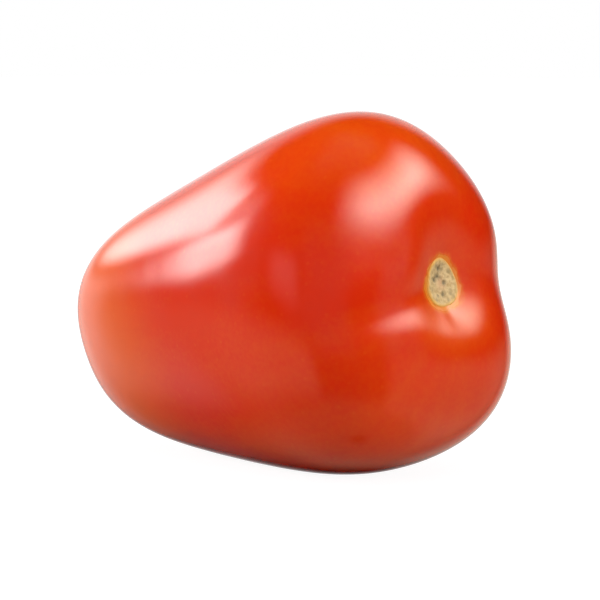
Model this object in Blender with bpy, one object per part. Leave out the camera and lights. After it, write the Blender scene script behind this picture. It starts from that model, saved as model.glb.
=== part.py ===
"""A plum tomato lying on its side, as one solid.

The fruit is a lobed egg of revolution. Its own axis runs from the blossom end (-X) to the stem end (+X),
and the heavy shoulders round the stem lift that end a little, as they do on a real fruit at rest.
The shoulders swell in lobes with furrows between them, which run into a shallow cavity round the stem.
A corky scar with a raised rim sits in the cavity, where the stalk broke off, and a small dry scar marks
the blossom end.

Metres, +Z up. The origin is the middle of the small flat spot that the fruit rests on.
"""

from dataclasses import dataclass
from math import pi, radians

import bpy
import numpy as np

MM = 0.001

# The body, before it is laid down
HALF_LENGTH = 38.8 * MM
MID_RADIUS = 24.7 * MM
END_ROUNDNESS = 0.818  # power of the sine in the profile: under 1 the ends are blunt
FULLNESS = (0.329, 0.269, -0.074)  # how the profile swells towards the stem, by powers of the axis

# The bend of the axis at its ends, across and up
BEND_ACROSS = -1.7 * MM
BEND_UP = 0.2 * MM

# How the fruit lies
LEAN = radians(9.65)  # its stem end is raised by this
FLAT_DEPTH = 0.4 * MM  # how far the skin gives way where it rests

# The stem cavity
CAVITY_DEPTH = 3.5 * MM
CAVITY_RADIUS = 7.1 * MM


@dataclass(frozen=True)
class Wave:
    """A wave round the axis: how many crests, the bearing of one crest, and how far it reaches."""

    crests: int
    bearing: float  # from the top, towards +Y
    swell: float  # share of the radius
    forward: float = 0.0  # along the axis


# Waves of the whole body, and the shoulder lobes, which fade out towards the blossom end
BODY_WAVES = (
    Wave(2, radians(1), 0.031),
    Wave(3, radians(-47.5), 0.046),
)
SHOULDER_LOBES = (
    Wave(2, radians(-6), 0.052, 3.8 * MM),
    Wave(3, radians(2), 0.090, -0.4 * MM),
    Wave(4, radians(142), 0.026, 0.8 * MM),
    Wave(5, radians(-6), 0.007, 0.6 * MM),
)


@dataclass(frozen=True)
class Furrow:
    """A crease between two lobes: its bearing, half width and depth, and the radius where it fades.

    A depth below zero makes a low ridge instead.
    """

    bearing: float
    half_width: float
    depth: float
    reach: float


# The two creases that run from the scar out over the shoulders, and the low ridge under the scar
FURROWS = (
    Furrow(radians(93), 6.95 * MM, 1.53 * MM, 32.0 * MM),
    Furrow(radians(176.5), 2.9 * MM, -0.45 * MM, 9.0 * MM),
    Furrow(radians(-104), 3.5 * MM, 1.52 * MM, 15.2 * MM),
)
FURROW_SIDE = 4.0  # how sharply a crease keeps to its own side of the stem
FURROW_FADE = 0.63  # distance along the axis, from the stem, over which a crease fades
SHOULDER_START = 6.3 * MM  # lobes and creases grow from this radius, clear of the scar

# The stem scar: a corky disc with a raised rim, and the stalk's vessel pits in a ring
SCAR_RADIUS = 3.6 * MM
SCAR_CORNERS = 3
SCAR_CORNER_SWELL = 0.07
RIM_HEIGHT = 0.3 * MM
RIM_WIDTH = 0.8 * MM
SCAR_SINK = 0.3 * MM
PIT_COUNT = 5
PIT_RING_RADIUS = 1.9 * MM
PIT_DEPTH = 0.3 * MM
PIT_WIDTH = 0.6 * MM

# The blossom scar: a low dry button in a faint dimple
BUTTON_RADIUS = 1.3 * MM
BUTTON_HEIGHT = 0.35 * MM
DIMPLE_RADIUS = 4.5 * MM
DIMPLE_DEPTH = 0.5 * MM

# The mesh: sectors round the axis, and rows that are close over the scar and wider on the body
SECTORS = 64
SCAR_ROW = 0.65 * MM
BODY_ROW = 2.9 * MM
ROW_GROWTH = 22.0 * MM  # arc over which the rows widen
PROFILE_SAMPLES = 4000
REST_SAMPLES = 720  # round the axis, and half as many along it, to find where the fruit rests

SKIN_COLOUR = (0.62, 0.045, 0.008, 1.0)
SKIN_ROUGHNESS = 0.25


def profile_radius(along):
    """Radius of the body of revolution, where along runs from -1 at the blossom end to 1 at the stem."""
    sine = np.sqrt(np.clip(1.0 - along**2, 0.0, 1.0))
    first, second, third = FULLNESS
    swell = 1.0 + first * along + second * along**2 + third * along**3
    return MID_RADIUS * sine**END_ROUNDNESS * swell


def bump(distance, width):
    """A smooth round hill of height 1."""
    return np.exp(-((distance / width) ** 2))


def cavity_drop(radius, along):
    """Depth of the stem cavity below the crown of the shoulders."""
    return np.where(along > 0.0, CAVITY_DEPTH * bump(radius, CAVITY_RADIUS), 0.0)


def stem_scar_relief(radius, bearing):
    """Height of the corky scar: a rim with soft corners, a sunk middle, and pits in a ring."""
    from_rim = radius - SCAR_RADIUS * (1.0 + SCAR_CORNER_SWELL * np.cos(SCAR_CORNERS * bearing))
    rim = RIM_HEIGHT * bump(from_rim, RIM_WIDTH)
    inside = 0.5 - 0.5 * np.tanh(2.0 * from_rim / RIM_WIDTH)
    pits = np.zeros_like(inside)
    for pit_bearing in 2 * pi * np.arange(PIT_COUNT) / PIT_COUNT:
        across = radius * np.sin(bearing) - PIT_RING_RADIUS * np.sin(pit_bearing)
        upward = radius * np.cos(bearing) - PIT_RING_RADIUS * np.cos(pit_bearing)
        pits = pits + bump(np.hypot(across, upward), PIT_WIDTH)
    return rim - SCAR_SINK * inside - PIT_DEPTH * pits


def blossom_scar_relief(radius):
    """Height of the dry button at the blossom end, in its dimple."""
    return BUTTON_HEIGHT * bump(radius, BUTTON_RADIUS) - DIMPLE_DEPTH * bump(radius, DIMPLE_RADIUS)


def wave_sum(waves, bearing, reach):
    """Sum of the waves at a bearing, each as high as its own reach, which is the name of a field."""
    return sum(getattr(w, reach) * np.cos(w.crests * (bearing - w.bearing)) for w in waves)


def furrow_depth(radius, along, bearing):
    """Depth of the creases: straight valleys out from the stem, which fade down the flank."""
    depth = 0.0
    for furrow in FURROWS:
        apart = bearing - furrow.bearing
        own_side = 0.5 + 0.5 * np.tanh(FURROW_SIDE * np.cos(apart))
        valley = bump(radius * np.sin(apart), furrow.half_width)
        depth = depth + furrow.depth * own_side * valley * bump(radius, furrow.reach)
    return depth * bump(1.0 - along, FURROW_FADE)


def skin_point(turn, bearing):
    """A point of the skin in the fruit's own frame.

    turn runs from 0 at the stem to pi at the blossom end, and bearing goes round the axis from the top.
    """
    along = np.cos(turn)
    stem_half = along > 0.0
    radius = profile_radius(along)
    shoulder = ((1.0 + along) / 2.0) ** 2
    clear_of_scar = 1.0 - np.where(stem_half, bump(radius, SHOULDER_START), 0.0)
    section = 1.0 + wave_sum(BODY_WAVES, bearing, "swell")
    lobes = 1.0 + shoulder * clear_of_scar * wave_sum(SHOULDER_LOBES, bearing, "swell")
    forward = shoulder * np.sin(turn) ** 2 * wave_sum(SHOULDER_LOBES, bearing, "forward")
    crease = clear_of_scar * furrow_depth(radius, along, bearing)
    out = radius * section * lobes
    relief = np.where(stem_half, stem_scar_relief(out, bearing), -blossom_scar_relief(out))
    x = HALF_LENGTH * along - cavity_drop(radius, along) + forward + relief - crease * along
    out = out - crease * np.sin(turn)
    y = out * np.sin(bearing) + BEND_ACROSS * along**2
    z = out * np.cos(bearing) + BEND_UP * along**2
    return np.stack(np.broadcast_arrays(x, y, z), axis=-1)


def row_turns():
    """The turn of each row of points, spaced by the arc along the plain profile."""
    turn = pi * np.linspace(0.0, 1.0, PROFILE_SAMPLES) ** 2
    along = np.cos(turn)
    steps = np.hypot(np.diff(HALF_LENGTH * along), np.diff(profile_radius(along)))
    arc = np.concatenate([[0.0], np.cumsum(steps)])
    places = [SCAR_ROW]
    while places[-1] < arc[-1] - BODY_ROW:
        widened = min(places[-1] / ROW_GROWTH, 1.0) ** 2
        places.append(places[-1] + SCAR_ROW + (BODY_ROW - SCAR_ROW) * widened)
    return np.interp(places, arc, turn)


def leant(points):
    """The points with the stem end raised by the lean."""
    x, y, z = np.moveaxis(points, -1, 0)
    return np.stack([x * np.cos(LEAN) - z * np.sin(LEAN), y, x * np.sin(LEAN) + z * np.cos(LEAN)], axis=-1)


def resting_place():
    """The middle of the patch of skin that rests, at the height of the surface under it."""
    turns = np.linspace(0.0, pi, REST_SAMPLES // 2)
    bearings = 2 * pi * np.arange(REST_SAMPLES) / REST_SAMPLES
    skin = leant(skin_point(turns[:, None], bearings[None, :])).reshape(-1, 3)
    surface = skin[:, 2].min() + FLAT_DEPTH
    patch = skin[skin[:, 2] < surface]
    middle = (patch.min(axis=0) + patch.max(axis=0)) / 2
    return np.array([middle[0], middle[1], surface])


def lay_down(points):
    """Leans the fruit, puts the middle of its resting patch at the origin and presses that patch flat."""
    laid = leant(points) - resting_place()
    laid[:, 2] = np.maximum(laid[:, 2], 0.0)
    return laid


def fruit_mesh():
    """The closed skin: a grid of rows and sectors between one point at each pole."""
    turns = row_turns()
    bearings = 2 * pi * np.arange(SECTORS) / SECTORS
    grid = skin_point(turns[:, None], bearings[None, :]).reshape(-1, 3)
    stem_pole = skin_point(np.zeros(1), np.zeros(1))
    blossom_pole = skin_point(np.full(1, pi), np.zeros(1))
    points = lay_down(np.concatenate([grid, stem_pole, blossom_pole]))

    rows = len(turns)
    index = np.arange(rows * SECTORS).reshape(rows, SECTORS)
    beside = np.roll(index, -1, axis=1)
    quads = np.stack([index[:-1], beside[:-1], beside[1:], index[1:]], axis=-1).reshape(-1, 4)
    stem = len(points) - 2
    blossom = len(points) - 1
    caps = [(stem, b, a) for a, b in zip(index[0], beside[0])]
    caps += [(blossom, a, b) for a, b in zip(index[-1], beside[-1])]

    mesh = bpy.data.meshes.new("fruit")
    mesh.from_pydata(points.tolist(), [], quads.tolist() + [tuple(map(int, cap)) for cap in caps])
    mesh.validate()
    mesh.shade_smooth()
    return mesh


def skin_material():
    """The ripe red skin."""
    material = bpy.data.materials.new("tomato_skin")
    material.use_nodes = True
    shader = material.node_tree.nodes["Principled BSDF"]
    shader.inputs["Base Color"].default_value = SKIN_COLOUR
    shader.inputs["Roughness"].default_value = SKIN_ROUGHNESS
    shader.inputs["Metallic"].default_value = 0.0
    return material


def clear_scene():
    """Removes every object that the scene starts with."""
    for thing in list(bpy.data.objects):
        bpy.data.objects.remove(thing)


def main():
    """Builds the fruit."""
    clear_scene()
    fruit = bpy.data.objects.new("fruit", fruit_mesh())
    bpy.context.scene.collection.objects.link(fruit)
    fruit.data.materials.append(skin_material())


main()
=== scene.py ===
"""A ripe plum tomato lying on its side, dressed and lit for the camera.

The fruit's skin is worked out from the same formula as the CAD solid, on a finer grid, and takes its
place. The corky stem scar and the dry blossom scar are surfaces of their own, seated in the skin.

Metres, +Z up. The origin is the middle of the small flat spot that the fruit rests on.
"""

import logging
from dataclasses import dataclass, field
from enum import Enum
from math import cos, pi, radians, sin

import bpy
import numpy as np
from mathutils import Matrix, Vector


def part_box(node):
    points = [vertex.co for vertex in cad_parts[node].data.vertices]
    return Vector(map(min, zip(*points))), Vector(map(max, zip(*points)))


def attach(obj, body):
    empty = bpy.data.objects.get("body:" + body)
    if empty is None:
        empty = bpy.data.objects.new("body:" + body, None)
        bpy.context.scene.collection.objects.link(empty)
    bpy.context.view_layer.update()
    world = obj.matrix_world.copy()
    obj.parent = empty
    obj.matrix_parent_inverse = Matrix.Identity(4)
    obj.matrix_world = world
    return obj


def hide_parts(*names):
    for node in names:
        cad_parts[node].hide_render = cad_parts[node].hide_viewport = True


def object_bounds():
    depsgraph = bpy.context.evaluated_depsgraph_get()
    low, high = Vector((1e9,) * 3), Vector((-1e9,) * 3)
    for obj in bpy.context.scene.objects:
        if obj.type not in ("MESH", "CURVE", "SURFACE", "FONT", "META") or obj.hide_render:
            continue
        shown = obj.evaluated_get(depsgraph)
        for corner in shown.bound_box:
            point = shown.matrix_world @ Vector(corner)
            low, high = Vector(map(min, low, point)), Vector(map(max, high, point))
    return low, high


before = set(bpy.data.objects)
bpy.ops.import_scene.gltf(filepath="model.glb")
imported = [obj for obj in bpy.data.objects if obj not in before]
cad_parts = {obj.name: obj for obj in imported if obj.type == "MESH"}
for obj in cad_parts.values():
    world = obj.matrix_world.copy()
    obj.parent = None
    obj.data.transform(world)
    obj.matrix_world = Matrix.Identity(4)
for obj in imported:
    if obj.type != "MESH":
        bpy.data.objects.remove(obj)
CAD_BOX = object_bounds()

Socket = bpy.types.NodeSocket
Box = tuple[Vector, Vector]  # lowest and highest corner
Colour = tuple[float, float, float, float]  # linear red, green, blue and alpha

MM = 0.001
BODY = "root"
CAD_NODE = "fruit"
IMAGE_SIDE = 600  # pixels, square
LATTICE_SIDE = 64  # random values along each side of the noise lattice
SENSOR = 36.0  # millimetres

log = logging.getLogger("tomato")


class Slot(Enum):
    """The record's material slots."""

    SKIN = "skin"


class Reach(Enum):
    """What a wave moves: the radius, or the place along the axis."""

    SWELL = "swell"
    FORWARD = "forward"


class Field(Enum):
    """Names of the attributes that the finishes read from the meshes."""

    FROM_STEM = "from_stem"  # millimetres from the edge of the stem scar
    FROM_BLOSSOM = "from_blossom"  # millimetres from the blossom end
    MERIDIAN = "meridian"  # place round the axis and along it
    RIM = "rim"  # 0 in the middle of a scar, 1 at its edge
    PITS = "pits"  # 1 in a vessel mark, 0 outside


@dataclass(frozen=True)
class Wave:
    """A wave round the axis: how many crests, the bearing of one crest, and how far it reaches."""

    crests: int
    bearing: float  # from the top, towards +Y
    swell: float  # share of the radius
    forward: float = 0.0  # metres along the axis


@dataclass(frozen=True)
class Furrow:
    """A crease between two lobes: its bearing, half width and depth, and the radius where it fades.

    A depth below zero makes a low ridge instead.
    """

    bearing: float
    half_width: float
    depth: float
    reach: float


def bump(distance: np.ndarray, width: float) -> np.ndarray:
    """A smooth round hill of height 1: the exponential of minus the squared share of the width."""
    return np.exp(-((distance / width) ** 2))


def step(value: np.ndarray, middle: float, softness: float) -> np.ndarray:
    """A smooth step from 0 to 1 about a middle value: half of 1 plus the hyperbolic tangent."""
    return 0.5 + 0.5 * np.tanh((value - middle) / softness)


@dataclass(frozen=True)
class FruitForm:
    """The fruit's outer form, a lobed egg leant back on its side, with the sizes of the CAD solid."""

    half_length: float = 38.8 * MM
    mid_radius: float = 24.7 * MM
    end_roundness: float = 0.818  # power of the sine in the profile: under 1 the ends are blunt
    fullness: tuple[float, float, float] = (0.329, 0.269, -0.074)  # swell of the profile, by powers
    bend_across: float = -1.7 * MM
    bend_up: float = 0.2 * MM
    lean: float = radians(9.65)  # its stem end is raised by this
    flat_depth: float = 0.4 * MM  # how far the skin gives way where it rests
    cavity_depth: float = 3.5 * MM
    cavity_radius: float = 7.1 * MM
    body_waves: tuple[Wave, ...] = (
        Wave(2, radians(1), 0.031),
        Wave(3, radians(-47.5), 0.046),
    )
    shoulder_lobes: tuple[Wave, ...] = (
        Wave(2, radians(-6), 0.052, 3.8 * MM),
        Wave(3, radians(2), 0.090, -0.4 * MM),
        Wave(4, radians(142), 0.026, 0.8 * MM),
        Wave(5, radians(-6), 0.007, 0.6 * MM),
    )
    furrows: tuple[Furrow, ...] = (
        Furrow(radians(93), 6.95 * MM, 1.53 * MM, 32.0 * MM),
        Furrow(radians(176.5), 2.9 * MM, -0.45 * MM, 9.0 * MM),
        Furrow(radians(-104), 3.5 * MM, 1.52 * MM, 15.2 * MM),
    )
    furrow_side: float = 4.0  # how sharply a crease keeps to its own side of the stem
    furrow_fade: float = 0.63  # distance along the axis, from the stem, over which a crease fades
    shoulder_start: float = 6.3 * MM  # lobes and creases grow from this radius
    dimple_radius: float = 4.5 * MM
    dimple_depth: float = 0.5 * MM
    rest_samples: int = 720  # round the axis, and half as many along it
    table_rows: int = 4000  # of the tables that give a turn for a radius
    stem_table: float = 0.6  # radians that the table at the stem covers
    blossom_table: float = 0.4  # the same at the blossom end

    def profile_radius(self, along: np.ndarray) -> np.ndarray:
        """Radius of the body of revolution.

        The sine to a power under 1, times a cubic of the place along the axis.

        Args:
            along: place along the axis, -1 at the blossom end and 1 at the stem.

        Returns:
            The radius at each place, in metres.
        """
        sine = np.sqrt(np.clip(1.0 - along**2, 0.0, 1.0))
        first, second, third = self.fullness
        swell = 1.0 + first * along + second * along**2 + third * along**3
        return self.mid_radius * sine**self.end_roundness * swell

    def turn_by_stem(self, radius: np.ndarray) -> np.ndarray:
        """The turn near the stem at which the plain profile has each radius, read from a fine table."""
        turns = np.linspace(0.0, self.stem_table, self.table_rows)
        return np.interp(radius, self.profile_radius(np.cos(turns)), turns)

    def turn_by_blossom(self, radius: np.ndarray) -> np.ndarray:
        """The same near the blossom end, where the radius shrinks as the turn grows."""
        turns = np.linspace(pi - self.blossom_table, pi, self.table_rows)
        return np.interp(-radius, -self.profile_radius(np.cos(turns)), turns)

    def wave_sum(self, waves: tuple[Wave, ...], bearing: np.ndarray, reach: Reach) -> np.ndarray:
        """Sum of cosines round the axis, each as high as its reach."""
        return sum(getattr(w, reach.value) * np.cos(w.crests * (bearing - w.bearing)) for w in waves)

    def pole(self, turn: float) -> np.ndarray:
        """The point of the skin at an end of the axis."""
        return self.upright_point(np.full(1, turn), np.zeros(1))[0]

    def creases(self, radius: np.ndarray, along: np.ndarray, bearing: np.ndarray) -> np.ndarray:
        """Depth of the creases between the lobes.

        Each is a straight valley out from the stem on its own side, a bump of the distance across it,
        which fades with the radius and along the axis.

        Args:
            radius: profile radius, in metres.
            along: place along the axis.
            bearing: angle round the axis from the top.

        Returns:
            The depth at each point, in metres.
        """
        depth = np.zeros(np.broadcast(radius, bearing).shape)
        for furrow in self.furrows:
            apart = bearing - furrow.bearing
            own_side = 0.5 + 0.5 * np.tanh(self.furrow_side * np.cos(apart))
            valley = bump(radius * np.sin(apart), furrow.half_width)
            depth = depth + furrow.depth * own_side * valley * bump(radius, furrow.reach)
        return depth * bump(1.0 - along, self.furrow_fade)

    def upright_point(self, turn: np.ndarray, bearing: np.ndarray) -> np.ndarray:
        """A point of the skin in the fruit's own frame, its axis along X.

        The profile is widened by waves round the axis, drawn in at the stem cavity, pushed forward
        on the shoulders and cut by the creases, and its axis is bent by a parabola.

        Args:
            turn: 0 at the stem to pi at the blossom end.
            bearing: angle round the axis from the top.

        Returns:
            The points, with X, Y and Z last.
        """
        along = np.cos(turn)
        stem_half = along > 0.0
        radius = self.profile_radius(along)
        shoulder = ((1.0 + along) / 2.0) ** 2
        clear = 1.0 - np.where(stem_half, bump(radius, self.shoulder_start), 0.0)
        section = 1.0 + self.wave_sum(self.body_waves, bearing, Reach.SWELL)
        lobes = 1.0 + shoulder * clear * self.wave_sum(self.shoulder_lobes, bearing, Reach.SWELL)
        pushed = self.wave_sum(self.shoulder_lobes, bearing, Reach.FORWARD)
        forward = shoulder * np.sin(turn) ** 2 * pushed
        crease = clear * self.creases(radius, along, bearing)
        out = radius * section * lobes
        cavity = np.where(stem_half, self.cavity_depth * bump(radius, self.cavity_radius), 0.0)
        dimple = np.where(stem_half, 0.0, self.dimple_depth * bump(out, self.dimple_radius))
        x = self.half_length * along - cavity + forward + dimple - crease * along
        out = out - crease * np.sin(turn)
        y = out * np.sin(bearing) + self.bend_across * along**2
        z = out * np.cos(bearing) + self.bend_up * along**2
        return np.stack(np.broadcast_arrays(x, y, z), axis=-1)

    def leant(self, points: np.ndarray) -> np.ndarray:
        """Turns the points about Y by the lean, which raises the stem end.

        Args:
            points: points with X, Y and Z last.

        Returns:
            The turned points.
        """
        x, y, z = np.moveaxis(points, -1, 0)
        turned = [x * cos(self.lean) - z * sin(self.lean), y, x * sin(self.lean) + z * cos(self.lean)]
        return np.stack(turned, axis=-1)

    def resting_place(self) -> np.ndarray:
        """Finds where the leant fruit rests.

        The skin lower than the flat's depth above its lowest point makes the patch.

        Returns:
            The middle of the patch, at the height of the surface under it.
        """
        turns = np.linspace(0.0, pi, self.rest_samples // 2)
        bearings = 2 * pi * np.arange(self.rest_samples) / self.rest_samples
        skin = self.leant(self.upright_point(turns[:, None], bearings[None, :])).reshape(-1, 3)
        surface = skin[:, 2].min() + self.flat_depth
        patch = skin[skin[:, 2] < surface]
        middle = (patch.min(axis=0) + patch.max(axis=0)) / 2
        return np.array([middle[0], middle[1], surface])

    def laid(self, points: np.ndarray) -> np.ndarray:
        """Leans the points and puts the middle of the resting patch at the origin."""
        return self.leant(points) - self.resting_place()


@dataclass(frozen=True)
class PolarGrid:
    """A round grid of rows about one pole, or closed by a pole at each end."""

    turns: np.ndarray  # one for each row, or the row's share of a scar's radius
    sectors: int
    closed: bool  # whether it has a pole at its far end too

    def parameters(self) -> tuple[np.ndarray, np.ndarray]:
        """Works out the two parameters of every point.

        Returns:
            The turns and the bearings, row by row, with the poles last.
        """
        bearings = 2 * pi * np.arange(self.sectors) / self.sectors
        turn = np.repeat(self.turns, self.sectors)
        bearing = np.tile(bearings, len(self.turns))
        poles = [0.0, pi] if self.closed else [0.0]
        return np.append(turn, poles), np.append(bearing, np.zeros(len(poles)))

    def faces(self) -> tuple[np.ndarray, np.ndarray]:
        """Quads between the rows and triangles round the poles, all facing out.

        Returns:
            The quads and the triangles, as rows of point numbers.
        """
        rows = len(self.turns)
        index = np.arange(rows * self.sectors).reshape(rows, self.sectors)
        beside = np.roll(index, -1, axis=1)
        quads = np.stack([index[:-1], beside[:-1], beside[1:], index[1:]], axis=-1).reshape(-1, 4)
        first_pole = np.full(self.sectors, rows * self.sectors)
        fans = [np.stack([first_pole, beside[0], index[0]], axis=-1)]
        if self.closed:
            fans.append(np.stack([first_pole + 1, index[-1], beside[-1]], axis=-1))
        return quads, np.concatenate(fans)

    def mesh(self, name: str, points: np.ndarray, fields: dict[Field, np.ndarray]) -> bpy.types.Mesh:
        """Makes the smooth mesh of the grid and keeps the fields on its points.

        Args:
            name: the mesh's name.
            points: one point for each pair of parameters.
            fields: values for each point, one number or three.

        Returns:
            The mesh.
        """
        quads, triangles = self.faces()
        mesh = bpy.data.meshes.new(name)
        mesh.from_pydata(points.tolist(), [], quads.tolist() + triangles.tolist())
        for key, values in fields.items():
            kind, socket = ("FLOAT", "value") if values.ndim == 1 else ("FLOAT_VECTOR", "vector")
            attribute = mesh.attributes.new(key.value, kind, "POINT")
            attribute.data.foreach_set(socket, values.astype(np.float32).ravel())
        mesh.validate()
        mesh.shade_smooth()
        return mesh


def placed(name: str, data: bpy.types.ID) -> bpy.types.Object:
    """Makes an object at the origin and links it into the scene.

    Args:
        name: the object's name.
        data: its mesh, lamp or lens.

    Returns:
        The object.
    """
    thing = bpy.data.objects.new(name, data)
    bpy.context.scene.collection.objects.link(thing)
    return thing


# Sockets of the Mix node for colours: its share, its two colours and its result
MIX_COLOUR_INPUTS = (0, 6, 7)
MIX_COLOUR_OUTPUT = 2


class NodeSheet:
    """A material's or a group's node tree, with short ways to add and join nodes."""

    def __init__(self, tree: bpy.types.NodeTree) -> None:
        """Keeps the tree."""
        self.tree = tree

    @staticmethod
    def of_material(name: str) -> tuple[bpy.types.Material, "NodeSheet"]:
        """Makes a material, which starts with a shader and an output.

        Args:
            name: the material's name.

        Returns:
            The material and its sheet.
        """
        material = bpy.data.materials.new(name)
        material.use_nodes = True
        return material, NodeSheet(material.node_tree)

    def add(self, kind: str, **settings: object) -> bpy.types.Node:
        """Adds a node and sets its properties.

        Args:
            kind: the node's type, without the word ShaderNode.
            settings: properties by name.

        Returns:
            The node.
        """
        node = self.tree.nodes.new("ShaderNode" + kind)
        for key, value in settings.items():
            setattr(node, key, value)
        return node

    def put(self, socket: Socket, value: object) -> None:
        """Links an output to the socket, or sets the socket's own value.

        Args:
            socket: the input socket.
            value: a number, a colour or an output socket.
        """
        if isinstance(value, Socket):
            self.tree.links.new(value, socket)
        else:
            socket.default_value = value

    def feed(self, node: bpy.types.Node, **values: object) -> bpy.types.Node:
        """Sets or links the node's inputs, named with _ for a space.

        Args:
            node: the node to feed.
            values: numbers, colours or output sockets by input name.

        Returns:
            The same node.
        """
        for key, value in values.items():
            self.put(node.inputs[key.replace("_", " ")], value)
        return node

    def math(self, operation: str, first: object, second: object) -> Socket:
        """Works on two numbers with one operation.

        Args:
            operation: the operation, as the Math node names it.
            first: a number or a socket.
            second: a number or a socket.

        Returns:
            The result.
        """
        node = self.add("Math", operation=operation)
        for socket, value in zip(node.inputs, (first, second)):
            self.put(socket, value)
        return node.outputs[0]

    def times(self, first: object, second: object) -> Socket:
        """The product of two numbers or sockets."""
        return self.math("MULTIPLY", first, second)

    def plus(self, first: object, second: object) -> Socket:
        """The sum of two numbers or sockets."""
        return self.math("ADD", first, second)

    def ramp(
        self, value: Socket, low: float, high: float, start: float = 0.0, end: float = 1.0
    ) -> Socket:
        """Smoothly maps low to high onto start to end.

        Args:
            value: the socket to map.
            low: value that gives the start.
            high: value that gives the end, which may be the lower of the two.
            start: result at low.
            end: result at high.

        Returns:
            The mapped socket, held between start and end.
        """
        node = self.add("MapRange", interpolation_type="SMOOTHSTEP")
        self.feed(node, Value=value, From_Min=low, From_Max=high, To_Min=start, To_Max=end)
        return node.outputs["Result"]

    def blend(self, share: object, first: object, second: object) -> Socket:
        """A colour between two others.

        Args:
            share: 0 for the first, 1 for the second.
            first: a colour or a socket.
            second: a colour or a socket.

        Returns:
            The mixed colour.
        """
        node = self.add("Mix", data_type="RGBA")
        for number, value in zip(MIX_COLOUR_INPUTS, (share, first, second)):
            self.put(node.inputs[number], value)
        return node.outputs[MIX_COLOUR_OUTPUT]

    def added(self, first: Socket, second: Socket) -> Socket:
        """Adds two shaders.

        Args:
            first: one shader.
            second: the other.

        Returns:
            Their sum.
        """
        node = self.add("AddShader")
        for socket, shader in zip(node.inputs, (first, second)):
            self.put(socket, shader)
        return node.outputs[0]

    def chosen(self, rays: str, others: Socket, own: Socket) -> Socket:
        """A shader for one kind of ray and another for the rest.

        Args:
            rays: the kind, as the Light Path node names it.
            others: shader for all other rays.
            own: shader for rays of the kind.

        Returns:
            The mixed shader.
        """
        node = self.add("MixShader")
        share = self.add("LightPath").outputs[rays]
        for socket, value in zip(node.inputs, (share, others, own)):
            self.put(socket, value)
        return node.outputs[0]

    def attribute(self, key: Field, output: str = "Fac") -> Socket:
        """A field kept on the mesh."""
        node = self.add("Attribute", attribute_name=key.value)
        return node.outputs[output]

    def noise(self, place: Socket, scale: float, detail: float = 2.0, roughness: float = 0.5) -> Socket:
        """Soft cloudy noise.

        Args:
            place: coordinates of the surface.
            scale: clouds to the unit of the coordinates.
            detail: how many times finer clouds are added.
            roughness: share of each finer step.

        Returns:
            The noise, from 0 to 1 about a half.
        """
        node = self.add("TexNoise", noise_dimensions="3D")
        self.feed(node, Vector=place, Scale=scale, Detail=detail, Roughness=roughness)
        return node.outputs["Fac"]


class GroupSockets(Enum):
    """Kinds of socket that the shared groups use."""

    NUMBER = "NodeSocketFloat"
    VECTOR = "NodeSocketVector"


@dataclass(frozen=True)
class Flecks:
    """How one finish uses the shared flecks."""

    scale: float  # cells to the metre
    size: float  # radius of a fleck, as a share of a cell
    share: float  # share of the cells that hold one
    strength: float  # of the colour that they bring


@dataclass(frozen=True)
class Zone:
    """A part of the surface where a finish changes: it grows smoothly from its start to its full share."""

    start: float
    full: float
    share: float = 1.0

    def over(self, sheet: NodeSheet, value: Socket) -> Socket:
        """The share at each value of a field."""
        return sheet.ramp(value, self.start, self.full, 0.0, self.share)


@dataclass(frozen=True)
class Mottle:
    """Cloudy noise as a number that changes over the surface, from its lowest to its highest."""

    scale: float  # clouds to the unit
    detail: float
    lowest: float
    highest: float
    thresholds: tuple[float, float] = (0.3, 0.7)  # noise that gives the lowest and the highest

    def over(self, sheet: NodeSheet, place: Socket) -> Socket:
        """The number at each place."""
        noise = sheet.noise(place, self.scale, self.detail)
        return sheet.ramp(noise, *self.thresholds, self.lowest, self.highest)


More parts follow.
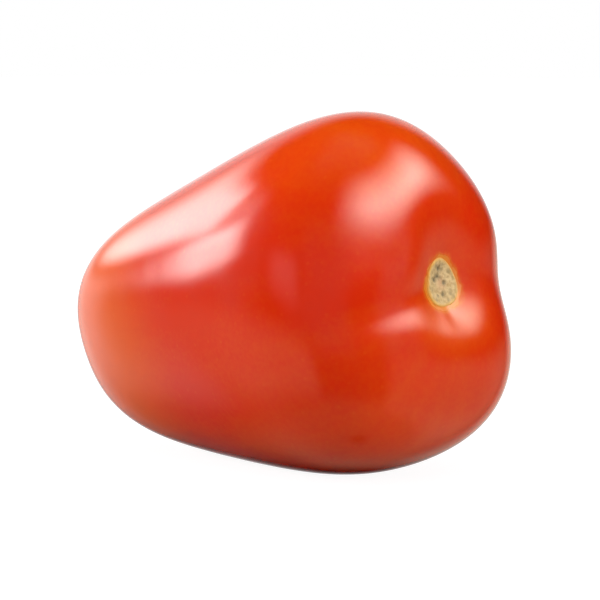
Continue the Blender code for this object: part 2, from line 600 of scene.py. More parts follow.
class SharedEffects:
    """Shader node groups that more than one finish uses, each built once."""

    def __init__(self) -> None:
        """Builds the groups."""
        self.flecks = self.fleck_group()

    @staticmethod
    def open_group(
        name: str, numbers: dict[str, float], output: str
    ) -> tuple[NodeSheet, bpy.types.Node, bpy.types.Node]:
        """Makes an empty group with a Place input, number inputs and one number output.

        Args:
            name: the group's name.
            numbers: default of each number input.
            output: name of the output.

        Returns:
            The sheet, the input node and the output node.
        """
        tree = bpy.data.node_groups.new(name, "ShaderNodeTree")
        number = GroupSockets.NUMBER.value
        tree.interface.new_socket("Place", in_out="INPUT", socket_type=GroupSockets.VECTOR.value)
        for label, value in numbers.items():
            tree.interface.new_socket(label, in_out="INPUT", socket_type=number).default_value = value
        tree.interface.new_socket(output, in_out="OUTPUT", socket_type=number)
        sheet = NodeSheet(tree)
        return sheet, tree.nodes.new("NodeGroupInput"), tree.nodes.new("NodeGroupOutput")

    def fleck_group(self) -> bpy.types.NodeTree:
        """Small round flecks: space is cut into cells, and some cells hold a soft disc about their middle.

        Returns:
            The group, with Place, Scale, Size and Share inputs and a Mask output.
        """
        numbers = {"Scale": 500.0, "Size": 0.2, "Share": 0.5}
        sheet, given, result = self.open_group("small_flecks", numbers, "Mask")
        cells = sheet.add("TexVoronoi", feature="F1", voronoi_dimensions="3D")
        sheet.feed(cells, Vector=given.outputs["Place"], Scale=given.outputs["Scale"], Randomness=1.0)
        inside = sheet.math("SUBTRACT", given.outputs["Size"], cells.outputs["Distance"])
        steepness = sheet.math("DIVIDE", 1.0, given.outputs["Size"])
        disc = sheet.times(sheet.math("MAXIMUM", inside, 0.0), steepness)
        tone = sheet.add("SeparateColor")
        sheet.feed(tone, Color=cells.outputs["Color"])
        kept = sheet.math("LESS_THAN", tone.outputs[0], given.outputs["Share"])
        sheet.tree.links.new(sheet.times(disc, kept), result.inputs["Mask"])
        return sheet.tree

    def place_flecks(self, sheet: NodeSheet, place: Socket, flecks: Flecks) -> Socket:
        """Places the fleck group with its own values.

        Args:
            sheet: the material's sheet.
            place: coordinates of the surface.
            flecks: the values.

        Returns:
            The mask of the flecks, times their strength.
        """
        node = sheet.add("Group")
        node.node_tree = self.flecks
        sheet.feed(node, Place=place, Scale=flecks.scale, Size=flecks.size, Share=flecks.share)
        return sheet.times(node.outputs["Mask"], flecks.strength)


DAYLIGHT: Colour = (1.0, 0.97, 0.94, 1.0)
WARM_WHITE: Colour = (1.0, 0.90, 0.72, 1.0)
IVORY: Colour = (1.0, 0.82, 0.55, 1.0)
COOL_WHITE: Colour = (0.85, 0.92, 0.80, 1.0)
PURE_WHITE: Colour = (1.0, 1.0, 1.0, 1.0)


@dataclass(frozen=True)
class SkinFinish:
    """The waxy skin of a ripe fruit: red, more orange near the stem and the tips, softly mottled, with
    painted light: more orange towards the top and, below the stem scar, partly a painted warm sheen.
    """

    ripe: Colour = (0.62, 0.020, 0.001, 1.0)
    orange: Colour = (0.66, 0.075, 0.001, 1.0)
    tip_orange: Colour = (0.70, 0.086, 0.002, 1.0)
    halo: Colour = (0.66, 0.19, 0.006, 1.0)
    gold: Colour = (0.70, 0.13, 0.010, 1.0)
    ior: float = 1.5
    flecks: Flecks = Flecks(620.0, 0.22, 0.6, 0.15)

    # Where the orange grows, in millimetres from the stem scar or from the blossom end
    shoulder: Zone = Zone(14.0, 0.0, 0.32)
    # Below the stem scar: partly the skin's own orange, partly a painted warm sheen where the highlights
    # fall
    orange_and_sheen_beneath: Zone = Zone(12.0, 3.0, 0.85)
    ring: Zone = Zone(1.7, 0.0)
    tip: Zone = Zone(40.0, 22.0, 0.95)

    # Where it grows by height, as painted light from above, by place along X, and by the cosine of the
    # bearing
    # Painted light: the skin is made more orange towards the top, where the light from above falls
    top: Zone = Zone(34 * MM, 56 * MM, 0.48)
    stem_end: Zone = Zone(20 * MM, 38 * MM, 0.30)
    # The lower side below the stem scar, for its orange and painted warm sheen
    lower_side: Zone = Zone(0.2, -0.8)

    # Unevenness of the orange: clouds, streaks along the meridians, fine grain, and a share for all of it
    clouds: Mottle = Mottle(45.0, 3.0, -0.10, 0.16, (0.35, 0.7))
    streaks: Mottle = Mottle(4.5, 2.0, -0.08, 0.12, (0.35, 0.7))
    streaked: Zone = Zone(3.0, 14.0)  # millimetres from the stem scar, where the streaks begin
    grain: Mottle = Mottle(1300.0, 2.0, -0.07, 0.07)
    base_share: float = 0.06
    ragged: Mottle = Mottle(420.0, 2.0, -0.35, 0.35)  # millimetres by which the ring's edge wanders

    # Roughness, which is greater round the stem scar
    roughness: Mottle = Mottle(160.0, 3.0, 0.105, 0.155)
    ring_roughness: float = 0.12
    dull: Zone = Zone(10.0, 2.0, 0.06)

    # The waxy ripple: fine and coarse clouds to the metre, the share of the coarse ones, and the relief
    fine_wax: float = 900.0
    coarse_wax: float = 260.0
    coarse_share: float = 1.5
    wax_strength: float = 0.09
    wax_height: float = 0.06 * MM

    def material(self, effects: SharedEffects) -> bpy.types.Material:
        """Builds the skin's material.

        Args:
            effects: the shared node groups.

        Returns:
            The material.
        """
        material, sheet = NodeSheet.of_material("ripe_skin")
        place = sheet.add("TexCoord").outputs["Object"]
        from_stem = sheet.attribute(Field.FROM_STEM)
        ring = self.ring.over(sheet, sheet.plus(from_stem, self.ragged.over(sheet, place)))
        ring = sheet.times(ring, ring)

        colour = sheet.blend(self.orange_share(sheet, place), self.ripe, self.orange)
        tip = self.tip.over(sheet, sheet.attribute(Field.FROM_BLOSSOM))
        colour = sheet.blend(tip, colour, self.tip_orange)
        colour = sheet.blend(effects.place_flecks(sheet, place, self.flecks), colour, self.gold)
        colour = sheet.blend(ring, colour, self.halo)

        rough = sheet.plus(self.roughness.over(sheet, place), sheet.times(ring, self.ring_roughness))
        rough = sheet.plus(rough, self.dull.over(sheet, from_stem))
        coarse = sheet.times(sheet.noise(place, self.coarse_wax), self.coarse_share)
        wax = sheet.plus(sheet.noise(place, self.fine_wax), coarse)
        relief = sheet.add("Bump")
        sheet.feed(relief, Strength=self.wax_strength, Distance=self.wax_height, Height=wax)

        shader = sheet.tree.nodes["Principled BSDF"]
        sheet.feed(shader, Base_Color=colour, Roughness=rough, Normal=relief.outputs[0])
        sheet.feed(shader, IOR=self.ior, Metallic=0.0)
        return material

    def orange_share(self, sheet: NodeSheet, place: Socket) -> Socket:
        """How orange the skin is: the greatest of its warm zones, made uneven by the mottling. The zone by
        height is painted light from above, and the zone below the scar is partly a painted warm sheen.

        Args:
            sheet: the material's sheet.
            place: coordinates of the surface.

        Returns:
            The share of orange, from 0 to 1.
        """
        parts = sheet.feed(sheet.add("SeparateXYZ"), Vector=place)
        meridian = sheet.attribute(Field.MERIDIAN, "Vector")
        around = sheet.feed(sheet.add("SeparateXYZ"), Vector=meridian)
        from_stem = sheet.attribute(Field.FROM_STEM)
        # Below the scar: partly the skin's own orange and partly a painted warm sheen of the highlights
        # there
        orange_and_sheen_beneath = self.orange_and_sheen_beneath.over(sheet, from_stem)
        orange_and_sheen_beneath = sheet.times(orange_and_sheen_beneath, self.lower_side.over(sheet, around.outputs["Y"]))

        share = self.shoulder.over(sheet, from_stem)
        # Painted light: more orange towards the top, where the light from above falls
        top = self.top.over(sheet, parts.outputs["Z"])
        stem_end = self.stem_end.over(sheet, parts.outputs["X"])
        for warm in (top, stem_end, orange_and_sheen_beneath):
            share = sheet.math("MAXIMUM", share, warm)

        streaks = sheet.times(self.streaked.over(sheet, from_stem), self.streaks.over(sheet, meridian))
        for uneven in (self.clouds.over(sheet, place), streaks, self.grain.over(sheet, place)):
            share = sheet.plus(share, uneven)
        held = sheet.add("Clamp")
        sheet.feed(held, Value=sheet.plus(share, self.base_share))
        return held.outputs[0]


@dataclass(frozen=True)
class CorkFinish:
    """Dry corky tissue: granular, with dark vessel marks and a coloured rim."""

    name: str
    cream: Colour = (0.44, 0.28, 0.10, 1.0)
    pale: Colour = (0.60, 0.42, 0.20, 1.0)
    brown: Colour = (0.16, 0.11, 0.045, 1.0)
    pink: Colour = (0.62, 0.30, 0.16, 1.0)
    rim: Colour = (0.70, 0.36, 0.05, 1.0)
    grain_scale: float = 1500.0  # to the metre
    grain_detail: float = 4.0
    grain_roughness: float = 0.65
    paling: Zone = Zone(0.35, 0.65)  # by the grains' noise
    specks: Flecks = Flecks(1000.0, 0.50, 0.55, 0.7)
    core: Zone = Zone(0.45, 0.0, 0.45)  # the pink middle, by the share of the radius
    edge: Zone = Zone(0.78, 1.0)  # the coloured rim, by the same
    relief_strength: float = 0.6
    relief_height: float = 0.12 * MM
    roughness: tuple[float, float] = (0.67, 0.83)  # lowest and highest
    rough_range: tuple[float, float] = (0.3, 0.7)  # grains' noise that gives them

    def material(self, effects: SharedEffects) -> bpy.types.Material:
        """Builds the cork's material.

        Args:
            effects: the shared node groups.

        Returns:
            The material.
        """
        material, sheet = NodeSheet.of_material(self.name)
        place = sheet.add("TexCoord").outputs["Object"]
        rim = sheet.attribute(Field.RIM)
        grains = sheet.noise(place, self.grain_scale, self.grain_detail, self.grain_roughness)

        colour = sheet.blend(self.paling.over(sheet, grains), self.cream, self.pale)
        colour = sheet.blend(effects.place_flecks(sheet, place, self.specks), colour, self.brown)
        colour = sheet.blend(self.core.over(sheet, rim), colour, self.pink)
        colour = sheet.blend(sheet.attribute(Field.PITS), colour, self.brown)
        colour = sheet.blend(self.edge.over(sheet, rim), colour, self.rim)

        relief = sheet.add("Bump")
        sheet.feed(relief, Strength=self.relief_strength, Distance=self.relief_height, Height=grains)
        rough = sheet.ramp(grains, *self.rough_range, *self.roughness)
        shader = sheet.tree.nodes["Principled BSDF"]
        sheet.feed(shader, Base_Color=colour, Roughness=rough, Normal=relief.outputs[0])
        sheet.feed(shader, Metallic=0.0)
        return material


BLOSSOM_CORK = CorkFinish(
    "blossom_cork",
    cream=(0.34, 0.15, 0.04, 1.0),
    pale=(0.50, 0.26, 0.09, 1.0),
    brown=(0.17, 0.07, 0.02, 1.0),
    pink=(0.24, 0.10, 0.03, 1.0),
    rim=(0.45, 0.16, 0.02, 1.0),
)


def eased(part: np.ndarray) -> np.ndarray:
    """The smooth cubic from 0 to 1: three squares less two cubes."""
    return part**2 * (3 - 2 * part)


def value_noise(first: np.ndarray, second: np.ndarray, cell: float, seed: int) -> np.ndarray:
    """Smooth lattice noise from -1 to 1 on a plane.

    Random values on a square lattice are blended with the smooth cubic of the place in each cell.

    Args:
        first: first coordinate, in metres.
        second: second coordinate, in metres.
        cell: side of a lattice cell, in metres.
        seed: seed of the lattice's values.

    Returns:
        The noise at each point.
    """
    lattice = np.random.default_rng(seed).uniform(-1.0, 1.0, (LATTICE_SIDE, LATTICE_SIDE))
    across = first / cell + LATTICE_SIDE / 2
    upward = second / cell + LATTICE_SIDE / 2
    column = np.floor(across).astype(int)
    row = np.floor(upward).astype(int)
    ease_across = eased(across - column)
    ease_upward = eased(upward - row)
    left, right = column % LATTICE_SIDE, (column + 1) % LATTICE_SIDE
    below, above = row % LATTICE_SIDE, (row + 1) % LATTICE_SIDE
    low = lattice[below, left] * (1 - ease_across) + lattice[below, right] * ease_across
    high = lattice[above, left] * (1 - ease_across) + lattice[above, right] * ease_across
    return low * (1 - ease_upward) + high * ease_upward


@dataclass(frozen=True)
class ScarOutline:
    """The stem scar's outline: a soft three-cornered drop, as a radius for each bearing."""

    radius: float = 3.75 * MM
    corners: int = 3
    corner_swell: float = 0.07  # share of the radius

    def at(self, bearing: np.ndarray) -> np.ndarray:
        """The outline's radius at each bearing: 1 plus a cosine for the corners, times the radius."""
        return self.radius * (1.0 + self.corner_swell * np.cos(self.corners * bearing))


@dataclass(frozen=True)
class Fitting:
    """A slight stretch along each axis that puts the fine surface into the coarse solid's box."""

    low: np.ndarray
    stretch: np.ndarray
    target: np.ndarray

    @staticmethod
    def between(points: np.ndarray, box: Box) -> "Fitting":
        """Works out the stretch from the points' own box to the given one.

        Args:
            points: the points to fit.
            box: the box that they are to fill.

        Returns:
            The fitting.
        """
        low, high = points.min(axis=0), points.max(axis=0)
        target_low, target_high = np.array(box[0]), np.array(box[1])
        return Fitting(low, (target_high - target_low) / (high - low), target_low)

    def apply(self, points: np.ndarray) -> np.ndarray:
        """The points after the stretch."""
        return self.target + (points - self.low) * self.stretch


@dataclass(frozen=True)
class Skin:
    """The fruit's skin, from the stem scar's seat to the blossom end."""

    form: FruitForm = field(default_factory=FruitForm)
    outline: ScarOutline = field(default_factory=ScarOutline)
    finish: SkinFinish = field(default_factory=SkinFinish)
    sectors: int = 288
    stem_row: float = 0.16 * MM  # between rows at the stem
    body_row: float = 0.52 * MM  # between rows on the body
    row_growth: float = 16.0 * MM  # arc over which the rows widen
    seat_depth: float = 0.45 * MM
    seat_softness: float = 0.22 * MM
    profile_samples: int = 8000
    meridian_run: float = 0.25  # length of the meridian place to a radian of turn

    def row_turns(self) -> np.ndarray:
        """Spaces the rows by the arc along the plain profile, closely by the stem and wider on the body.

        Returns:
            The turn of each row.
        """
        turn = pi * np.linspace(0.0, 1.0, self.profile_samples) ** 2
        along = np.cos(turn)
        outward = np.diff(self.form.profile_radius(along))
        steps = np.hypot(np.diff(self.form.half_length * along), outward)
        arc = np.concatenate([[0.0], np.cumsum(steps)])
        places = [self.stem_row]
        while places[-1] < arc[-1] - self.body_row:
            widened = min(places[-1] / self.row_growth, 1.0) ** 2
            places.append(places[-1] + self.stem_row + (self.body_row - self.stem_row) * widened)
        return np.interp(places, arc, turn)

    def fields(
        self, turn: np.ndarray, bearing: np.ndarray, points: np.ndarray
    ) -> dict[Field, np.ndarray]:
        """What the finish reads at each point.

        Args:
            turn: turn of each point.
            bearing: bearing of each point.
            points: the points in the fruit's own frame.

        Returns:
            Distances from the stem scar and the blossom end, and the meridian place, which is the
            direction out from the axis and a slow run along it.
        """
        stem = self.form.pole(0.0)
        blossom = self.form.pole(pi)
        around = np.hypot(points[:, 1] - stem[1], points[:, 2] - stem[2])
        from_stem = np.linalg.norm(points - stem, axis=1) - self.outline.at(bearing)
        # The blossom half never counts as near the stem scar
        from_stem = np.where(np.cos(turn) > 0.0, from_stem, from_stem + around)
        from_blossom = np.linalg.norm(points - blossom, axis=1)
        meridian = np.stack([np.sin(bearing), np.cos(bearing), self.meridian_run * turn], axis=-1)
        return {
            Field.FROM_STEM: from_stem / MM,
            Field.FROM_BLOSSOM: from_blossom / MM,
            Field.MERIDIAN: meridian,
        }

    def seat(self, points: np.ndarray, bearing: np.ndarray) -> np.ndarray:
        """Sinks the stem scar's seat along the axis by a smooth step of the radius.

        Args:
            points: the skin's points in the fruit's own frame.
            bearing: bearing of each point.

        Returns:
            The points with the seat in them.
        """
        stem = self.form.pole(0.0)
        radius = np.hypot(points[:, 1] - stem[1], points[:, 2] - stem[2])
        inside = 1.0 - step(radius, self.outline.at(bearing) - 2 * self.seat_softness, self.seat_softness)
        sunk = points.copy()
        sunk[:, 0] -= np.where(points[:, 0] > 0.0, self.seat_depth * inside, 0.0)
        return sunk

    def build(self, box: Box) -> tuple[bpy.types.Object, Fitting]:
        """Builds the skin as a closed surface inside the CAD box.

        Args:
            box: the CAD node's lowest and highest corner.

        Returns:
            The skin's object, and the fitting that put it into the box.
        """
        grid = PolarGrid(self.row_turns(), self.sectors, closed=True)
        turn, bearing = grid.parameters()
        upright = self.form.upright_point(turn, bearing)
        laid = self.form.laid(self.seat(upright, bearing))
        laid[:, 2] = np.maximum(laid[:, 2], 0.0)
        fitting = Fitting.between(laid, box)
        mesh = grid.mesh("fruit_skin", fitting.apply(laid), self.fields(turn, bearing, upright))
        return placed("fruit_skin", mesh), fitting


@dataclass(frozen=True)
class StemScar:
    """The corky scar where the stalk broke off: a thin granular crust seated in the skin."""

    form: FruitForm = field(default_factory=FruitForm)
    outline: ScarOutline = field(default_factory=ScarOutline)
    finish: CorkFinish = field(default_factory=lambda: CorkFinish("stem_cork"))
    sectors: int = 160
    rows: int = 64
    crust: float = 0.10 * MM
    rim_height: float = 0.12 * MM
    edge_drop: float = 0.40 * MM
    grain_height: float = 0.07 * MM
    grain_cell: float = 0.42 * MM
    fine_grain: float = 0.6  # height of the finer grains, as a share of the others
    pit_depth: float = 0.22 * MM
    pit_width: float = 0.42 * MM
    # Bearing of each vessel mark in degrees, and its distance from the middle in millimetres
    pits: tuple[tuple[float, float], ...] = (
        (-8.0, 2.3),
        (-25.0, 1.3),
        (-62.0, 1.5),
        (170.0, 1.6),
        (80.0, 0.8),
    )
    # Places and widths as shares of the radius
    rim_place: float = 0.86
    rim_width: float = 0.09
    grain_end: float = 0.93
    grain_fade: float = 0.03
    drop_place: float = 0.97
    drop_width: float = 0.02
    seed: int = 5

    def pit_mask(self, across: np.ndarray, upward: np.ndarray) -> np.ndarray:
        """Sums a bump at each vessel mark's bearing and distance.

        Args:
            across: distance of each point from the middle, towards +Y.
            upward: distance of each point from the middle, towards the top.

        Returns:
            The mask of the marks, at most 1.
        """
        mask = np.zeros_like(across)
        for bearing_deg, distance in self.pits:
            far_across = across - distance * MM * sin(radians(bearing_deg))
            far_upward = upward - distance * MM * cos(radians(bearing_deg))
            mask = mask + bump(np.hypot(far_across, far_upward), self.pit_width)
        return np.clip(mask, 0.0, 1.0)

    def build(self, fitting: Fitting) -> bpy.types.Object:
        """Builds the scar as a disc that follows the skin and dips into it at the edge.

        The disc's radius at a bearing is a share of the outline. Its height over the skin is a crust,
        a low rim, lattice noise for the grains, less the vessel marks and a drop at the edge.

        Args:
            fitting: the stretch that the skin took.

        Returns:
            The scar's object.
        """
        shares = np.linspace(0.0, 1.0, self.rows + 1)[1:]
        grid = PolarGrid(shares, self.sectors, closed=False)
        share, bearing = grid.parameters()
        radius = share * self.outline.at(bearing)
        across = radius * np.sin(bearing)
        upward = radius * np.cos(bearing)
        pits = self.pit_mask(across, upward)
        grains = value_noise(across, upward, self.grain_cell, self.seed)
        finer = value_noise(across, upward, self.grain_cell / 2, self.seed + 1)
        grains = grains + self.fine_grain * finer
        inner = 1.0 - step(share, self.grain_end, self.grain_fade)
        rim = self.rim_height * bump(share - self.rim_place, self.rim_width)
        drop = self.edge_drop * step(share, self.drop_place, self.drop_width)
        height = self.crust + rim + self.grain_height * grains * inner
        height = height - self.pit_depth * pits - drop
        points = self.form.upright_point(self.form.turn_by_stem(radius), bearing)
        points[:, 0] += height
        laid = fitting.apply(self.form.laid(points))
        mesh = grid.mesh("stem_scar", laid, {Field.RIM: share, Field.PITS: pits})
        return placed("stem_scar", mesh)


@dataclass(frozen=True)
class BlossomScar:
    """The dry button at the blossom end: a small low dome with a puckered edge."""

    form: FruitForm = field(default_factory=FruitForm)
    finish: CorkFinish = BLOSSOM_CORK
    radius: float = 1.35 * MM
    height: float = 0.40 * MM
    edge_drop: float = 0.30 * MM
    sectors: int = 72
    rows: int = 24
    puckers: int = 7
    pucker_share: float = 0.07  # of the radius
    dome_power: float = 0.7  # of the cosine that gives the dome: under 1 its top is flat
    hollow_depth: float = 0.15 * MM
    # Places and widths as shares of the radius
    hollow_width: float = 0.25
    drop_place: float = 0.9
    drop_width: float = 0.08

    def build(self, fitting: Fitting) -> bpy.types.Object:
        """Builds the button as a dome over the skin, sunk into it at the edge and hollow in the middle.

        Its radius is waved by the puckers, and its height is a power of a cosine of the radius, less a
        drop at the edge and a bump in the middle.

        Args:
            fitting: the stretch that the skin took.

        Returns:
            The button's object.
        """
        shares = np.linspace(0.0, 1.0, self.rows + 1)[1:]
        grid = PolarGrid(shares, self.sectors, closed=False)
        share, angle = grid.parameters()
        bearing = -angle  # so that the faces point out at this end too
        pucker = 1.0 + self.pucker_share * np.cos(self.puckers * angle) * share
        radius = share * self.radius * pucker
        points = self.form.upright_point(self.form.turn_by_blossom(radius), bearing)
        hollow = bump(share, self.hollow_width)
        drop = self.edge_drop * step(share, self.drop_place, self.drop_width)
        dome = self.height * np.cos(share * pi / 2) ** self.dome_power - drop
        dome = dome - self.hollow_depth * hollow
        points[:, 0] -= dome
        laid = fitting.apply(self.form.laid(points))
        mesh = grid.mesh("blossom_scar", laid, {Field.RIM: share, Field.PITS: hollow})
        return placed("blossom_scar", mesh)


def direction(azimuth: float, elevation: float) -> Vector:
    """The way towards a place seen at an azimuth and an elevation, in degrees, azimuth 0 at -Y."""
    turn, rise = radians(azimuth), radians(elevation)
    return Vector((sin(turn) * cos(rise), -cos(turn) * cos(rise), sin(rise)))


@dataclass(frozen=True)
class StudioCamera:
    """The camera at the photograph's viewing angle."""

    azimuth: float = 43.41  # degrees
    elevation: float = 5.262  # degrees
    distance: float = 0.4436  # metres
    focal_pixels: float = 2739.0
    middle_x: float = 284.1  # where the middle of the box lands, in pixels from the left
    middle_y: float = 285.7  # the same from the top
    nearest: float = 0.01
    farthest: float = 50.0

    def build(self, box: Box) -> bpy.types.Object:
        """Places the camera so that the box's middle lands where the photograph has it.

        Args:
            box: the object's lowest and highest corner.

        Returns:
            The camera's object.
        """
        low, high = box
        target = Vector(((low.x + high.x) / 2, (low.y + high.y) / 2, high.z / 2))
        back = direction(self.azimuth, self.elevation)
        lens = bpy.data.cameras.new("studio_camera")
        lens.sensor_width = SENSOR
        lens.lens = self.focal_pixels / IMAGE_SIDE * SENSOR
        lens.shift_x = (IMAGE_SIDE / 2 - self.middle_x) / IMAGE_SIDE
        lens.shift_y = (self.middle_y - IMAGE_SIDE / 2) / IMAGE_SIDE
        lens.clip_start = self.nearest
        lens.clip_end = self.farthest
        camera = placed("studio_camera", lens)
        camera.location = target + back * self.distance
        camera.rotation_euler = back.to_track_quat("Z", "Y").to_euler()
        bpy.context.scene.camera = camera
        return camera


@dataclass(frozen=True)
class SoftCard:
    """A glowing curved card with soft edges, turned to the fruit, which only the gloss shows."""

    name: str
    azimuths: tuple[float, float]  # degrees, where its sides have half of their glow
    elevations: tuple[float, float]  # the same for its bottom and top
    radiance: float
    side_fades: tuple[float, float]  # degrees over which the glow fades at each side
    end_fades: tuple[float, float]  # the same at its bottom and top
    distance: float = 4.0
    tint: Colour = PURE_WHITE
    turned: float = 0.0  # degrees by which it is turned about its middle
    cells: int = 24

    def build(self, target: Vector) -> bpy.types.Object:
        """Makes the card, a patch of a sphere about the fruit.

        A grid of azimuths and elevations is turned about its middle, and each becomes a point of the
        sphere by sines and cosines.

        Args:
            target: the middle of the sphere.

        Returns:
            The card's object.
        """
        shares = np.linspace(0.0, 1.0, self.cells + 1)
        across, upward = np.meshgrid(shares, shares)
        side_low, side_high = self.extent(self.azimuths, self.side_fades)
        end_low, end_high = self.extent(self.elevations, self.end_fades)
        middle_side = sum(self.azimuths) / 2
        middle_end = sum(self.elevations) / 2
        sideways = side_low + (side_high - side_low) * across - middle_side
        endways = end_low + (end_high - end_low) * upward - middle_end
        slope = radians(self.turned)
        turn = np.radians(middle_side + sideways * cos(slope) - endways * sin(slope))
        rise = np.radians(middle_end + sideways * sin(slope) + endways * cos(slope))
        level = np.cos(rise)
        ways = np.stack([np.sin(turn) * level, -np.cos(turn) * level, np.sin(rise)], axis=-1)
        points = (np.array(target) + ways * self.distance).reshape(-1, 3)
        index = np.arange(len(points)).reshape(across.shape)
        corners = [index[:-1, :-1], index[1:, :-1], index[1:, 1:], index[:-1, 1:]]
        quads = np.stack(corners, axis=-1).reshape(-1, 4)
        mesh = bpy.data.meshes.new(self.name)
        mesh.from_pydata(points.tolist(), [], quads.tolist())
        corner_points = np.zeros(len(mesh.loops), dtype=np.int32)
        mesh.loops.foreach_get("vertex_index", corner_points)
        places = np.stack([across.ravel(), upward.ravel()], axis=-1)[corner_points]
        mesh.uv_layers.new(name="card").uv.foreach_set("vector", places.astype(np.float32).ravel())
        mesh.materials.append(self.glow())
        card = placed(self.name, mesh)
        card.visible_camera = False
        card.visible_shadow = False
        card.visible_diffuse = False
        return card

    @staticmethod
    def extent(edges: tuple[float, float], fades: tuple[float, float]) -> tuple[float, float]:
        """Where the glow ends: half a fade beyond each edge."""
        return edges[0] - fades[0] / 2, edges[1] + fades[1] / 2

    def glow(self) -> bpy.types.Material:
        """The card's light, full in the middle and faded smoothly towards each edge.

        It adds to whatever lies behind it, so that cards can overlap.

        Returns:
            The material.
        """
        material, sheet = NodeSheet.of_material(self.name)
        sheet.tree.nodes.clear()
        parts = sheet.feed(sheet.add("SeparateXYZ"), Vector=sheet.add("TexCoord").outputs["UV"])
        strength = self.radiance
        for axis, edges, fades in (
            ("X", self.azimuths, self.side_fades),
            ("Y", self.elevations, self.end_fades),
        ):
            low, high = self.extent(edges, fades)
            rise = sheet.ramp(parts.outputs[axis], 0.0, fades[0] / (high - low))
            fall = sheet.ramp(parts.outputs[axis], 1.0, 1.0 - fades[1] / (high - low))
            strength = sheet.times(sheet.times(rise, fall), strength)
        light = sheet.feed(sheet.add("Emission"), Color=self.tint, Strength=strength)
        through = sheet.add("BsdfTransparent")
        both = sheet.added(light.outputs[0], through.outputs[0])
        sheet.feed(sheet.add("OutputMaterial"), Surface=both)
        return material


@dataclass(frozen=True)
class BodyLight:
    """A broad soft light for the body colour, unseen in the gloss."""

    name: str
    azimuth: float  # degrees
    elevation: float  # degrees
    power: float  # watts
    side: float = 0.8  # metres
    distance: float = 1.0  # metres

    def build(self, target: Vector) -> bpy.types.Object:
        """Places the light, turned to the fruit.

        Args:
            target: what the light is turned to.

        Returns:
            The light's object.
        """
        lamp = bpy.data.lights.new(self.name, "AREA")
        lamp.shape = "SQUARE"
        lamp.size = self.side
        lamp.energy = self.power
        light = placed(self.name, lamp)
        way = direction(self.azimuth, self.elevation)
        light.location = target + way * self.distance
        light.rotation_euler = way.to_track_quat("Z", "Y").to_euler()
        light.visible_camera = False
        light.visible_glossy = False
        return light


@dataclass(frozen=True)
class Floor:
    """A plain floor: the camera sees it white, it lights the fruit's underside, and the gloss lacks it."""

    reach: float = 3.0
    near_glow: float = 0.93
    far_glow: float = 1.0
    near: float = 0.10  # distance from the fruit at which the glow starts to grow
    far: float = 0.30  # distance at which it is full
    seen_paint: Colour = (0.20, 0.20, 0.20, 1.0)  # what the camera sees, so it takes the contact shadow
    lit_paint: Colour = (0.44, 0.44, 0.44, 1.0)  # what throws light back up

    def build(self) -> bpy.types.Object:
        """Makes the floor at the height of the fruit's resting spot.

        Returns:
            The floor's object.
        """
        reach = self.reach
        corners = [(x * reach, y * reach, 0.0) for x, y in ((-1, -1), (1, -1), (1, 1), (-1, 1))]
        mesh = bpy.data.meshes.new("floor")
        mesh.from_pydata(corners, [], [(0, 1, 2, 3)])
        mesh.materials.append(self.material())
        floor = placed("floor", mesh)
        floor.visible_glossy = False
        return floor

    def material(self) -> bpy.types.Material:
        """Paint that glows white to the camera, with a faint contact shadow, and is grey to other rays.

        Returns:
            The material.
        """
        material, sheet = NodeSheet.of_material("floor_paint")
        sheet.tree.nodes.clear()
        away = sheet.add("VectorMath", operation="LENGTH")
        sheet.feed(away, Vector=sheet.add("TexCoord").outputs["Object"])
        glow = sheet.ramp(away.outputs["Value"], self.near, self.far, self.near_glow, self.far_glow)
        seen = sheet.feed(sheet.add("BsdfDiffuse"), Color=self.seen_paint)
        shine = sheet.feed(sheet.add("Emission"), Color=PURE_WHITE, Strength=glow)
        bright = sheet.added(seen.outputs[0], shine.outputs[0])
        lit = sheet.feed(sheet.add("BsdfDiffuse"), Color=self.lit_paint)
        surface = sheet.chosen("Is Camera Ray", lit.outputs[0], bright)
        sheet.feed(sheet.add("OutputMaterial"), Surface=surface)
        return material


@dataclass(frozen=True)
class Backdrop:
    """The surroundings: white to the camera, an even light for the body colour, and dim in the gloss."""

    seen: float = 1.0
    body_light: float = 0.32
    ambient: float = 0.006

    def build(self) -> None:
        """Sets the scene's world."""
        world = bpy.data.worlds.new("studio")
        bpy.context.scene.world = world
        world.use_nodes = True
        sheet = NodeSheet(world.node_tree)
        sheet.tree.nodes.clear()
        white, even, dim = (
            sheet.feed(sheet.add("Background"), Color=PURE_WHITE, Strength=strength).outputs[0]
            for strength in (self.seen, self.body_light, self.ambient)
        )
        unseen = sheet.chosen("Is Diffuse Ray", dim, even)
        sheet.feed(sheet.add("OutputWorld"), Surface=sheet.chosen("Is Camera Ray", unseen, white))


# Name, azimuth, elevation and power
BODY_LIGHTS = (
    BodyLight("light_top", 20, 82, 7.0),
    BodyLight("light_left", -60, 5, 13.0),
    BodyLight("light_right", 110, 35, 1.4),
    BodyLight("light_side", 100, 5, 7.8),
    BodyLight("light_front", 20, 5, 3.8),
)

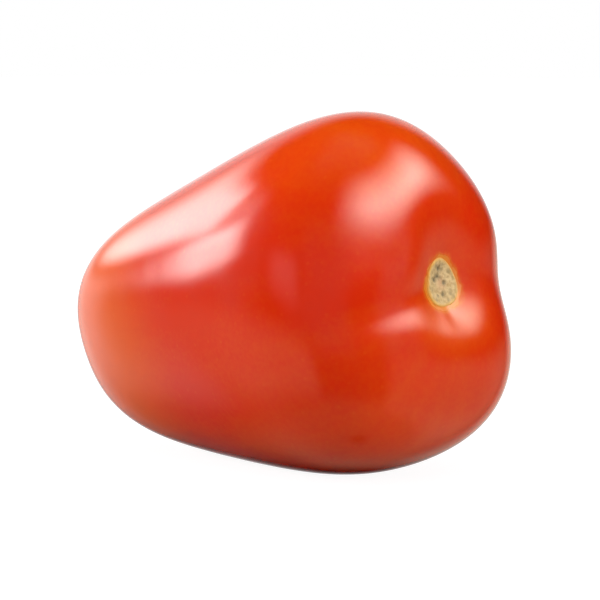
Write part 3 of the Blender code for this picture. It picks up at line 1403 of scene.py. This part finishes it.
# Name, azimuths, elevations, radiance, fades at the sides and at the ends, distance, tint and turn
CARDS = (
    SoftCard("window_high", (-92, -68.5), (13.9, 28.6), 6.2, (44, 7), (6, 8), 4.0, DAYLIGHT, 6),
    SoftCard("window_low", (-70.5, -51.5), (4.2, 16.8), 8.6, (5, 13), (6, 6), 4.1, DAYLIGHT, 27),
    SoftCard("window_veil", (-104, -50), (12.5, 29.5), 2.4, (24, 14), (8, 14), 4.15, DAYLIGHT),
    SoftCard("softbox", (48, 152), (25.5, 44.3), 12.0, (60, 40), (20, 34.4), 4.2, COOL_WHITE),
    SoftCard("left_wall", (-116, -75), (-25.9, 7.5), 1.35, (35.5, 18), (27.5, 9), 4.3, DAYLIGHT),
    SoftCard("left_table", (-70.6, -1.7), (-35.2, -5.1), 0.76, (35.3, 12.6), (23.4, 11.9), 4.4, IVORY),
    SoftCard("right_table", (84.2, 182.1), (-46.5, -4.3), 0.54, (21.3, 26.4), (17.9, 17.5), 4.5, IVORY),
    SoftCard("rear_wall", (187, 212), (-34.4, -0.6), 0.75, (16, 17), (25.9, 12.2), 4.6, WARM_WHITE),
    SoftCard("rear_strip", (-161.5, -108), (3.1, 34), 0.75, (18.4, 21.7), (18.9, 23.8), 4.7),
    SoftCard("near_table", (-180, 180), (-85, -40.8), 0.34, (20, 20), (10, 23.5), 4.8, IVORY),
    SoftCard("small_lamp", (-26.9, -7.4), (5.4, 13.7), 0.80, (10.8, 9.6), (8.1, 5.1), 4.9),
    SoftCard("white_sweep", (-150, -123), (-18, 7), 0.80, (18, 18), (18, 18), 5.0),
)


@dataclass(frozen=True)
class Studio:
    """Floor, backdrop, lights and camera."""

    camera: StudioCamera = field(default_factory=StudioCamera)
    floor: Floor = field(default_factory=Floor)
    backdrop: Backdrop = field(default_factory=Backdrop)
    body_lights: tuple[BodyLight, ...] = BODY_LIGHTS
    cards: tuple[SoftCard, ...] = CARDS

    def build(self, box: Box) -> None:
        """Builds the studio round the object.

        Args:
            box: the object's lowest and highest corner.
        """
        self.camera.build(box)
        self.floor.build()
        self.backdrop.build()
        middle = Vector((0.0, 0.0, (box[0].z + box[1].z) / 2))
        for light in (*self.body_lights, *self.cards):
            light.build(middle)
        bpy.context.scene.view_settings.view_transform = "Standard"


def put_in_frame(piece: bpy.types.Object, material: bpy.types.Material) -> None:
    """Dresses a piece and lets it ride and stand for the CAD node.

    Args:
        piece: the finished piece.
        material: its material.
    """
    piece.data.materials.append(material)
    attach(piece, BODY)
    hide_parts(CAD_NODE)
    log.info("%s: %d faces", piece.name, len(piece.data.polygons))


def main() -> None:
    """Builds the fruit, its scars and the studio."""
    logging.basicConfig(level=logging.INFO, format="%(name)s %(message)s")
    effects = SharedEffects()
    skin_maker = Skin()
    skin, fitting = skin_maker.build(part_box(CAD_NODE))
    put_in_frame(skin, skin_maker.finish.material(effects))
    scar_maker = StemScar()
    put_in_frame(scar_maker.build(fitting), scar_maker.finish.material(effects))
    button_maker = BlossomScar()
    put_in_frame(button_maker.build(fitting), button_maker.finish.material(effects))
    Studio().build(CAD_BOX)


if __name__ == "__main__":
    main()
